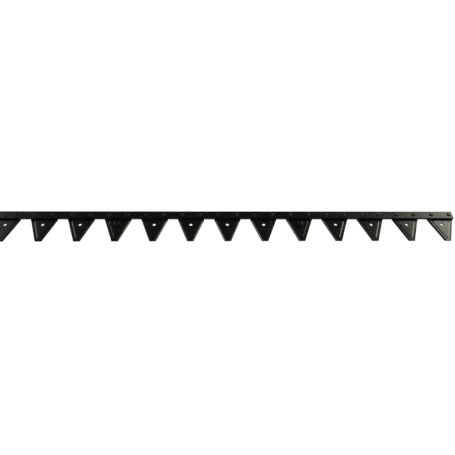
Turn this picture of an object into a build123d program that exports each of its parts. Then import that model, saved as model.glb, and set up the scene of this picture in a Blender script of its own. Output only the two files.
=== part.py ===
from build123d import *
import math
import os

# A length of assembled mower knife: ground triangular sections riveted under one flat knife back.
# Millimetres. X runs along the knife back, Y from the cutting tips to the back of the bar, Z up.
# The origin is in the middle of the plan, on the flat underside of the sections.

# Layout along the bar
section_count = 13
section_pitch = 76.2
stud_sections = (4, 9)

# Knife back
bar_width = 18.0
bar_height = 5.0
bar_corner_radius = 0.3

# Section blank, in plan
section_width = 55.5
blade_reach = 53.6
tip_width = 13.5
section_thickness = 3.0
tail_setback = 0.9

# Grinding of a section, with widths square to the edge, from the cutting edge inward
edge_thickness = 0.5
bevel_width = 2.8
land_width = 3.15
shoulder_width = 1.95
shoulder_height = 0.45
grinding_clearance = 0.8

# Flat panel that the grinding leaves in the middle of a section
panel_width = 32.0
panel_apex_radius = 2.2

# Centre hole of a section, measured from the front of the bar
centre_hole_diameter = 6.4
centre_hole_reach = 13.0

# Rivets
rivet_spacing = 38.1
rivet_diameter = 5.5
rivet_hole_clearance = 0.05
rivet_head_diameter = 8.8
rivet_head_height = 1.7
rivet_foot_diameter = 8.0

# Guide studs
stud_clearance = 0.05
stud_flange_diameter = 16.4
stud_flange_height = 1.5
stud_diameter = 11.6
stud_height = 7.0
stud_top_radius = 2.0
stud_foot_diameter = 9.4

# Sides of the blade, in plan
half_width = section_width / 2
side_run = half_width - tip_width / 2
side_length = math.hypot(side_run, blade_reach)
side_slope = side_run / blade_reach
side_secant = side_length / blade_reach

# Insets and heights of the ground steps
panel_inset = bevel_width + land_width + shoulder_width
land_top = section_thickness - shoulder_height

# Round apex of the panel, where both of its slanted sides meet
panel_apex = (panel_inset * side_secant - half_width) / side_slope
apex_arc_centre = panel_apex + panel_apex_radius * side_length / side_run

# Places along and across the part
tail_depth = bar_width - tail_setback
bar_length = (section_count - 1) * section_pitch + section_width
bar_top = section_thickness + bar_height
rivet_line = bar_width / 2
stud_shank_diameter = centre_hole_diameter - 2 * stud_clearance
middle_of_plan = Pos(0, (blade_reach - bar_width) / 2, 0)
section_places = [(number - (section_count - 1) / 2) * section_pitch for number in range(section_count)]
rivet_offsets = {"left": -rivet_spacing / 2, "right": rivet_spacing / 2}


def blank_outline(inset, height):
    """The section's outline with its sides moved inward by inset and its tip cut square, as a face."""
    side = half_width - inset
    corner = inset * (side_secant - 1) / side_slope
    tip_side = tip_width / 2 - inset * side_secant
    back = tail_depth - inset
    right = [(tip_side, -blade_reach), (side, corner), (side, back)]
    left = [(-x, y) for x, y in reversed(right)]
    return Pos(0, 0, height) * make_face(Polyline(*left, *right, close=True))


def panel_outline(outset, height):
    """The flat panel's outline moved outward by outset: straight at the bar, then a V with a round apex."""
    side = panel_width / 2 + outset
    corner = (side - half_width + (panel_inset - outset) * side_secant) / side_slope
    radius = panel_apex_radius + outset
    touch_x = radius / side_secant
    touch_y = apex_arc_centre - radius * side_slope / side_secant
    back = tail_depth / 2
    right = Polyline((touch_x, touch_y), (side, corner), (side, back))
    left = Polyline((-side, back), (-side, corner), (-touch_x, touch_y))
    apex = ThreePointArc((-touch_x, touch_y), (0, apex_arc_centre - radius), (touch_x, touch_y))
    return Pos(0, 0, height) * make_face(left + apex + right + Line((side, back), (-side, back)))


def countersink(top_diameter, foot_diameter, clearance):
    """The tapered hole through a section for the foot of a rivet or stud, wide end down."""
    return Cone(
        foot_diameter / 2 + clearance,
        top_diameter / 2 + clearance,
        section_thickness,
        align=(Align.CENTER, Align.CENTER, Align.MIN),
    )


def make_knife_back():
    """Rolled flat bar with rounded long edges, cut square, and drilled for each rivet."""
    bar = Pos(0, rivet_line, section_thickness) * Box(
        bar_length, bar_width, bar_height, align=(Align.CENTER, Align.CENTER, Align.MIN)
    )
    bar = fillet(bar.edges().filter_by(Axis.X), bar_corner_radius)
    hole = Cylinder(rivet_diameter / 2 + rivet_hole_clearance, 2 * bar_top)
    for place in section_places:
        for offset in rivet_offsets.values():
            bar -= Pos(place + offset, rivet_line, bar_top) * hole
    return bar


def make_section(with_stud):
    """Ground section: flat panel, shoulder, flat land, cutting bevel on both slanted sides, a tip that is
    cut square, and a full tail that the bar bears on."""
    edge_line = blank_outline(0, edge_thickness)
    land_line = blank_outline(bevel_width, land_top)
    shoulder_foot = panel_outline(shoulder_width, land_top)
    section = extrude(blank_outline(0, 0), edge_thickness)
    section += loft([edge_line, land_line], ruled=True)
    section += loft([shoulder_foot, panel_outline(0, section_thickness)], ruled=True)
    section += Pos(0, -grinding_clearance, 0) * Box(
        section_width,
        tail_depth + grinding_clearance,
        section_thickness,
        align=(Align.CENTER, Align.MIN, Align.MIN),
    )
    for offset in rivet_offsets.values():
        rivet_hole = countersink(rivet_diameter, rivet_foot_diameter, rivet_hole_clearance)
        section -= Pos(offset, rivet_line, 0) * rivet_hole
    if with_stud:
        centre_hole = countersink(stud_shank_diameter, stud_foot_diameter, stud_clearance)
    else:
        centre_hole = Cylinder(centre_hole_diameter / 2, 4 * section_thickness)
    section -= Pos(0, -centre_hole_reach, 0) * centre_hole
    return section


def make_rivet():
    """Set rivet: low domed head on the bar, shank through it, tapered foot flush with the underside."""
    shank = rivet_diameter / 2
    head = rivet_head_diameter / 2
    crown = bar_top + rivet_head_height
    side = Polyline(
        (0, crown),
        (0, 0),
        (rivet_foot_diameter / 2, 0),
        (shank, section_thickness),
        (shank, bar_top),
        (head, bar_top),
    )
    dome = TangentArc((0, crown), (head, bar_top), tangent=(1, 0))
    return revolve(Plane.XZ * make_face(side + dome), Axis.Z)


def make_guide_stud():
    """Turned stud: round post on a flange that sits on the panel, its tapered foot set in the centre hole."""
    flange = stud_flange_diameter / 2
    post = stud_diameter / 2
    flange_top = section_thickness + stud_flange_height
    crown = section_thickness + stud_height
    side = Polyline(
        (post - stud_top_radius, crown),
        (0, crown),
        (0, 0),
        (stud_foot_diameter / 2, 0),
        (stud_shank_diameter / 2, section_thickness),
        (flange, section_thickness),
        (flange, flange_top),
        (post, flange_top),
        (post, crown - stud_top_radius),
    )
    shoulder = TangentArc((post, crown - stud_top_radius), (post - stud_top_radius, crown), tangent=(0, 1))
    return revolve(Plane.XZ * make_face(side + shoulder), Axis.Z)


def save(name, shape):
    """Write one piece to its own file, in the part's frame."""
    export_step(middle_of_plan * shape, f"parts/{name}.step")


os.makedirs("parts", exist_ok=True)
plain_section = make_section(with_stud=False)
stud_section = make_section(with_stud=True)
rivet = make_rivet()
guide_stud = make_guide_stud()

save("knife_back", make_knife_back())
for number, place in enumerate(section_places, start=1):
    if number in stud_sections:
        save(f"section_{number:02d}", Pos(place, 0, 0) * stud_section)
        save(f"guide_stud_{number:02d}", Pos(place, -centre_hole_reach, 0) * guide_stud)
    else:
        save(f"section_{number:02d}", Pos(place, 0, 0) * plain_section)
    for side, offset in rivet_offsets.items():
        save(f"rivet_{number:02d}_{side}", Pos(place + offset, rivet_line, 0) * rivet)
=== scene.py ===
import math

import bpy
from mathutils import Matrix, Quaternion, Vector


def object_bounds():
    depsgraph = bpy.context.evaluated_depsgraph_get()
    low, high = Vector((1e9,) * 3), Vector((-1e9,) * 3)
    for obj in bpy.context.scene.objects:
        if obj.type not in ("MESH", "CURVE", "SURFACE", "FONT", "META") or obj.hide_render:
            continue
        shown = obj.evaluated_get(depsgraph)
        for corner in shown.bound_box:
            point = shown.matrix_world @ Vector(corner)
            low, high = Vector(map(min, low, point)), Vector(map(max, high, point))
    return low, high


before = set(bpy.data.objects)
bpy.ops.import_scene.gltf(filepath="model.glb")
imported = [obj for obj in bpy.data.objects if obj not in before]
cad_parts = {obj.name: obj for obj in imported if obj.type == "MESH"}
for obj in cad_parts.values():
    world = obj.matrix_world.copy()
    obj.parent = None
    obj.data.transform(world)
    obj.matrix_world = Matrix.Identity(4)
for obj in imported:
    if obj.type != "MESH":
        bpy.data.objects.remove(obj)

cad_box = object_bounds()


# Knife back: hot-rolled flat steel bar that runs the whole length and carries every section. It is
# cut square, drilled for the rivets and painted black once the knife is riveted together.
millimetre = 0.001


def linear(hex_colour):
    """An sRGB hex colour as linear red, green, blue and alpha."""
    channels = [int(hex_colour[place:place + 2], 16) / 255 for place in (1, 3, 5)]
    return [c / 12.92 if c <= 0.04045 else ((c + 0.055) / 1.055) ** 2.4 for c in channels] + [1.0]


def add(tree, kind, settings=None, **links):
    """Adds a node to a tree. Settings name its properties or input sockets, links name the sockets
    that other nodes' outputs go into, with two underlines for a space."""
    node = tree.nodes.new(kind)
    for name, value in (settings or {}).items():
        if name in node.inputs:
            node.inputs[name].default_value = value
        else:
            setattr(node, name, value)
    for name, output in links.items():
        tree.links.new(output, node.inputs[name.replace("__", " ")])
    return node


enamel_dark = linear("#0B0D0C")
enamel_light = linear("#111413")
enamel_flow = 22 * millimetre
enamel_flow_low = 0.3
enamel_flow_high = 0.7
enamel_gloss_spread = 0.025
enamel_edge = 0.25 * millimetre
peel_depth = 0.009 * millimetre


def black_enamel(name, steel, steel_depth, peel, roughness, shine):
    """Black enamel over steel. The marks of the steel show faintly through the paint, the paint adds
    its orange peel, runs a little thicker and glossier in places, and rounds the sharp edges."""
    material = bpy.data.materials.new(name)
    material.use_nodes = True
    tree = material.node_tree
    tree.nodes.clear()
    place = add(tree, "ShaderNodeTexCoord").outputs["Object"]
    flow = add(tree, "ShaderNodeTexNoise", {"Scale": 1 / enamel_flow, "Detail": 3.0}, Vector=place)
    colour = add(tree, "ShaderNodeValToRGB", {}, Fac=flow.outputs["Fac"])
    colour.color_ramp.elements[0].position = enamel_flow_low
    colour.color_ramp.elements[0].color = enamel_dark
    colour.color_ramp.elements[1].position = enamel_flow_high
    colour.color_ramp.elements[1].color = enamel_light
    uneven = add(
        tree,
        "ShaderNodeMapRange",
        {
            "From Min": enamel_flow_low,
            "From Max": enamel_flow_high,
            "To Min": roughness - enamel_gloss_spread,
            "To Max": roughness + enamel_gloss_spread,
        },
        Value=flow.outputs["Fac"],
    )
    soft_edge = add(tree, "ShaderNodeBevel", {"Radius": enamel_edge, "samples": 4})
    marks = add(
        tree,
        "ShaderNodeBump",
        {"Strength": 1.0, "Distance": steel_depth},
        Height=steel(tree, place),
        Normal=soft_edge.outputs["Normal"],
    )
    skin = add(
        tree,
        "ShaderNodeTexNoise",
        {"Scale": 1 / peel, "Detail": 2.0, "Roughness": 0.5},
        Vector=place,
    )
    bump = add(
        tree,
        "ShaderNodeBump",
        {"Strength": 1.0, "Distance": peel_depth},
        Height=skin.outputs["Fac"],
        Normal=marks.outputs["Normal"],
    )
    paint = add(
        tree,
        "ShaderNodeBsdfPrincipled",
        {"IOR": 1.5, "Specular IOR Level": shine},
        Base__Color=colour.outputs["Color"],
        Roughness=uneven.outputs["Result"],
        Normal=bump.outputs["Normal"],
    )
    add(tree, "ShaderNodeOutputMaterial", {}, Surface=paint.outputs["BSDF"])
    return material


def paint_nodes(prefix, material):
    """Gives a material to every node of the CAD model whose name starts with the prefix."""
    for name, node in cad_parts.items():
        if name.startswith(prefix):
            for slot in node.material_slots:
                slot.material = material


rolling_line_width = 1.6 * millimetre
rolling_line_length = 60 * millimetre
rolling_depth = 0.006 * millimetre


def rolled(tree, place):
    """Height of the faint lines that hot rolling leaves along the bar."""
    stretch = (1 / rolling_line_length, 1 / rolling_line_width, 1 / rolling_line_width)
    along = add(tree, "ShaderNodeMapping", {"Scale": stretch}, Vector=place)
    lines = add(tree, "ShaderNodeTexNoise", {"Scale": 1.0, "Detail": 2.0}, Vector=along.outputs["Vector"])
    return lines.outputs["Fac"]


# Satin black with a soft orange peel, and lines along the bar that show only where it shines. Over
# rolling scale the film is a little hazy, so its highlights are weaker than on the ground steel.
rolled_bar_enamel = black_enamel(
    "black_enamel_on_rolled_bar",
    steel=rolled,
    steel_depth=rolling_depth,
    peel=1.8 * millimetre,
    roughness=0.22,
    shine=0.35,
)
paint_nodes("knife_back", rolled_bar_enamel)


# Sections: triangular blades of hardened spring steel, 3 mm thick, with both slanted sides ground
# down from a flat middle panel. They lie side by side under the bar, and each is held by two rivets.
section_pitch = 76.2 * millimetre
side_run = 21.0 * millimetre
blade_reach = 53.6 * millimetre
side_lean = math.atan2(side_run, blade_reach)
marks_top = 2.98 * millimetre
grinding_mark_width = 0.8 * millimetre
grinding_mark_length = 9 * millimetre
grinding_depth = 0.009 * millimetre


def ground(tree, place):
    """Height of the grinding marks, which cross the bevel, the land and the shoulder square to the
    slanted edge, and leave the panel's own top plain."""
    parts = add(tree, "ShaderNodeSeparateXYZ", {}, Vector=place)
    folded = add(tree, "ShaderNodeMath", {"operation": "PINGPONG"}, Value=parts.outputs["X"])
    folded.inputs[1].default_value = section_pitch / 2
    half = add(tree, "ShaderNodeCombineXYZ", {}, X=folded.outputs["Value"], Y=parts.outputs["Y"])
    upright = add(
        tree,
        "ShaderNodeVectorRotate",
        {"rotation_type": "Z_AXIS", "Angle": side_lean},
        Vector=half.outputs["Vector"],
    )
    stretch = (1 / grinding_mark_length, 1 / grinding_mark_width, 1.0)
    across = add(tree, "ShaderNodeMapping", {"Scale": stretch}, Vector=upright.outputs["Vector"])
    lines = add(tree, "ShaderNodeTexNoise", {"Scale": 1.0, "Detail": 2.0}, Vector=across.outputs["Vector"])
    below_panel = add(tree, "ShaderNodeMath", {"operation": "LESS_THAN"}, Value=parts.outputs["Z"])
    below_panel.inputs[1].default_value = marks_top
    marks = add(tree, "ShaderNodeMath", {"operation": "MULTIPLY"})
    tree.links.new(lines.outputs["Fac"], marks.inputs[0])
    tree.links.new(below_panel.outputs["Value"], marks.inputs[1])
    return marks.outputs["Value"]


# Satin black, smoother than on the bar, with the coarse grinding marks still to be seen on the bevels.
ground_steel_enamel = black_enamel(
    "black_enamel_on_ground_steel",
    steel=ground,
    steel_depth=grinding_depth,
    peel=1.6 * millimetre,
    roughness=0.21,
    shine=0.5,
)
paint_nodes("section", ground_steel_enamel)


# Rivets: soft steel, two to a section, set cold. The low dome stands on the bar, and the foot fills
# the countersink in the section and is flush with the underside.
dimple_size = 2.4 * millimetre
dimple_depth = 0.03 * millimetre


def hammered(tree, place):
    """Height of the shallow dimples that the setting tool leaves on a head."""
    dimples = add(tree, "ShaderNodeTexNoise", {"Scale": 1 / dimple_size, "Detail": 1.0}, Vector=place)
    return dimples.outputs["Fac"]


# Thicker, duller paint over an uneven head, so that each dome's highlight is soft and a little
# different from the next one's.
set_rivet_enamel = black_enamel(
    "black_enamel_on_set_rivets",
    steel=hammered,
    steel_depth=dimple_depth,
    peel=1.4 * millimetre,
    roughness=0.36,
    shine=0.28,
)
paint_nodes("rivet", set_rivet_enamel)


# Guide studs: turned steel, one in the centre hole of the fourth and of the ninth section. The foot
# is set in the countersunk hole, and the flange sits on the panel.
stud_centre_depth = 4.8 * millimetre
turning_mark_pitch = 0.7 * millimetre
turning_depth = 0.006 * millimetre


def turned(tree, place):
    """Height of the fine rings that turning leaves round the stud's axis."""
    parts = add(tree, "ShaderNodeSeparateXYZ", {}, Vector=place)
    across = add(tree, "ShaderNodeMath", {"operation": "PINGPONG"}, Value=parts.outputs["X"])
    across.inputs[1].default_value = section_pitch / 2
    along = add(tree, "ShaderNodeMath", {"operation": "SUBTRACT"}, Value=parts.outputs["Y"])
    along.inputs[1].default_value = stud_centre_depth
    spoke = add(tree, "ShaderNodeCombineXYZ", {}, X=across.outputs["Value"], Y=along.outputs["Value"])
    radius = add(tree, "ShaderNodeVectorMath", {"operation": "LENGTH"}, Vector=spoke.outputs["Vector"])
    travel = add(tree, "ShaderNodeMath", {"operation": "ADD"})
    tree.links.new(radius.outputs["Value"], travel.inputs[0])
    tree.links.new(parts.outputs["Z"], travel.inputs[1])
    turns = add(tree, "ShaderNodeMath", {"operation": "MULTIPLY"}, Value=travel.outputs["Value"])
    turns.inputs[1].default_value = 2 * math.pi / turning_mark_pitch
    wave = add(tree, "ShaderNodeMath", {"operation": "SINE"}, Value=turns.outputs["Value"])
    return wave.outputs["Value"]


# A closer, slightly glossier skin than on the flat pieces, with rings that catch the light.
turned_stud_enamel = black_enamel(
    "black_enamel_on_turned_steel",
    steel=turned,
    steel_depth=turning_depth,
    peel=1.4 * millimetre,
    roughness=0.2,
    shine=0.5,
)
paint_nodes("guide_stud", turned_stud_enamel)


# The table: one wide sheet of grey laminate on which the knife lies, as under a product photograph.
# It is lit from within so that the camera sees it white, and it keeps the knife's soft shadow.
table_size = 14.0
table_gap = 0.1 * millimetre
clear_reach = 4.5 * millimetre
table_colour = linear("#7C7C7A")
table_glow = 0.94
table_glow_in_gloss = 0.1

# What shines sees the sheet's own light only faintly, as in the photograph. From below the sheet is
# clear, and so it is to what falls on the knife's underside, which is never more than a few
# millimetres above it, so that the underside can be looked at.
laminate = bpy.data.materials.new("grey_laminate_lit_white")
laminate.use_nodes = True
tree = laminate.node_tree
tree.nodes.clear()
ray = add(tree, "ShaderNodeLightPath")
side = add(tree, "ShaderNodeNewGeometry")
seen = add(tree, "ShaderNodeMath", {"operation": "MAXIMUM"})
tree.links.new(ray.outputs["Is Camera Ray"], seen.inputs[0])
tree.links.new(ray.outputs["Is Transmission Ray"], seen.inputs[1])
mirrored = add(tree, "ShaderNodeMath", {"operation": "MULTIPLY"}, Value=ray.outputs["Is Glossy Ray"])
mirrored.inputs[1].default_value = table_glow_in_gloss
either = add(tree, "ShaderNodeMath", {"operation": "MAXIMUM"})
tree.links.new(seen.outputs["Value"], either.inputs[0])
tree.links.new(mirrored.outputs["Value"], either.inputs[1])
glow_level = add(tree, "ShaderNodeMath", {"operation": "MULTIPLY"}, Value=either.outputs["Value"])
glow_level.inputs[1].default_value = table_glow
glow = add(tree, "ShaderNodeEmission", {"Color": linear("#FFFFFF")}, Strength=glow_level.outputs["Value"])
sheet = add(tree, "ShaderNodeBsdfDiffuse", {"Color": table_colour})
lit_sheet = add(tree, "ShaderNodeAddShader")
tree.links.new(sheet.outputs["BSDF"], lit_sheet.inputs[0])
tree.links.new(glow.outputs["Emission"], lit_sheet.inputs[1])
clear = add(tree, "ShaderNodeBsdfTransparent")
close_below = add(tree, "ShaderNodeMath", {"operation": "LESS_THAN"}, Value=ray.outputs["Ray Length"])
close_below.inputs[1].default_value = clear_reach
cleared = add(tree, "ShaderNodeMath", {"operation": "MAXIMUM"})
tree.links.new(side.outputs["Backfacing"], cleared.inputs[0])
tree.links.new(close_below.outputs["Value"], cleared.inputs[1])
one_sided = add(tree, "ShaderNodeMixShader", {}, Fac=cleared.outputs["Value"])
tree.links.new(lit_sheet.outputs["Shader"], one_sided.inputs[1])
tree.links.new(clear.outputs["BSDF"], one_sided.inputs[2])
add(tree, "ShaderNodeOutputMaterial", {}, Surface=one_sided.outputs["Shader"])

corner = table_size / 2
table_mesh = bpy.data.meshes.new("table")
table_mesh.from_pydata(
    [(-corner, -corner, 0), (corner, -corner, 0), (corner, corner, 0), (-corner, corner, 0)],
    [],
    [(0, 1, 2, 3)],
)
table_mesh.materials.append(laminate)
table = bpy.data.objects.new("table", table_mesh)
table.location.z = cad_box[0].z - table_gap
bpy.context.scene.collection.objects.link(table)


# The studio: a room that is dim behind the table and paler in front of it, where the camera stands.
# To the camera itself the room is plain white.
dim_end = 0.35
pale_end = -0.45
dim_level = 0.05
pale_level = 0.25

studio = bpy.data.worlds.new("studio")
studio.use_nodes = True
bpy.context.scene.world = studio
tree = studio.node_tree
tree.nodes.clear()
direction = add(tree, "ShaderNodeTexCoord")
parts = add(tree, "ShaderNodeSeparateXYZ", {}, Vector=direction.outputs["Generated"])
room = add(
    tree,
    "ShaderNodeMapRange",
    {"From Min": pale_end, "From Max": dim_end, "To Min": pale_level, "To Max": dim_level},
    Value=parts.outputs["Y"],
)
ray = add(tree, "ShaderNodeLightPath")
seen = add(tree, "ShaderNodeMath", {"operation": "MAXIMUM"})
tree.links.new(ray.outputs["Is Camera Ray"], seen.inputs[0])
tree.links.new(ray.outputs["Is Transmission Ray"], seen.inputs[1])
level = add(tree, "ShaderNodeMath", {"operation": "MAXIMUM"})
tree.links.new(room.outputs["Result"], level.inputs[0])
tree.links.new(seen.outputs["Value"], level.inputs[1])
walls = add(tree, "ShaderNodeBackground", {"Color": linear("#FFFFFF")}, Strength=level.outputs["Value"])
add(tree, "ShaderNodeOutputWorld", {}, Surface=walls.outputs["Background"])


box_distance = 3.0


def soft_box(name, azimuth, elevation, width, height, roll, level, colour):
    """A lit panel that faces the knife. Azimuth is in degrees to the right of straight behind it,
    elevation in degrees above the table, width and height in metres, roll in degrees, and level is
    how bright the panel itself looks, where 1 is white."""
    lamp = bpy.data.lights.new(name, "AREA")
    lamp.shape = "RECTANGLE"
    lamp.size = width
    lamp.size_y = height
    lamp.energy = level * math.pi * width * height
    lamp.color = linear(colour)[:3]
    box = bpy.data.objects.new(name, lamp)
    turn, rise = math.radians(azimuth), math.radians(elevation)
    toward = Vector((math.sin(turn) * math.cos(rise), math.cos(turn) * math.cos(rise), math.sin(rise)))
    box.location = toward * box_distance
    box.rotation_mode = "QUATERNION"
    box.rotation_quaternion = Quaternion(toward, math.radians(roll)) @ toward.to_track_quat("Z", "Y")
    bpy.context.scene.collection.objects.link(box)
    return box


# Two soft boxes behind the knife, to its left and right, make the bright bevels.
soft_box(
    "soft_box_left",
    azimuth=-65.0,
    elevation=31.1,
    width=1.64,
    height=1.31,
    roll=33.2,
    level=2.82,
    colour="#FBFFF2",
)
soft_box(
    "soft_box_right",
    azimuth=50.4,
    elevation=29.2,
    width=2.24,
    height=1.05,
    roll=-22.7,
    level=6.3,
    colour="#FFFCE4",
)

# A third lights the underside, through the sheet.
soft_box(
    "soft_box_under",
    azimuth=20.0,
    elevation=-58.0,
    width=3.0,
    height=1.6,
    roll=0,
    level=1.4,
    colour="#FFFFFF",
)

# A panel over the camera fills the shade without a highlight of its own.
fill = soft_box(
    "fill_panel",
    azimuth=180,
    elevation=70,
    width=3.0,
    height=3.0,
    roll=0,
    level=1.4,
    colour="#FFFFFF",
)
fill.visible_glossy = False


# The camera stands in front of the middle of the knife, a little over arm's length away, and looks
# down on it, turned and rolled by the few degrees that the photograph shows.
image_side = 455
focal_pixels = 400
sensor_width = 36.0
aim_drop_pixels = 1.45
camera_target = Vector((0.3 * millimetre, 2.8 * millimetre, 0))
camera_distance = 837.8 * millimetre
camera_elevation = math.radians(53.65)
camera_turn = math.radians(3.25)
camera_roll = math.radians(2.59)
clip_near = 0.01
clip_far = 100.0


def level_view(elevation, turn):
    """The forward direction of a camera without roll."""
    return Vector((
        math.sin(turn) * math.cos(elevation), math.cos(turn) * math.cos(elevation), -math.sin(elevation)
    ))


lens = bpy.data.cameras.new("camera")
lens.sensor_width = sensor_width
lens.lens = focal_pixels / image_side * sensor_width
lens.clip_start = clip_near
lens.clip_end = clip_far
camera = bpy.data.objects.new("camera", lens)
camera.location = camera_target - level_view(camera_elevation, camera_turn) * camera_distance
aim = level_view(camera_elevation + math.atan(aim_drop_pixels / focal_pixels), camera_turn)
camera.rotation_mode = "QUATERNION"
camera.rotation_quaternion = Quaternion(aim, -camera_roll) @ aim.to_track_quat("-Z", "Y")
bpy.context.scene.collection.objects.link(camera)
bpy.context.scene.camera = camera
bpy.context.scene.view_settings.view_transform = "Standard"
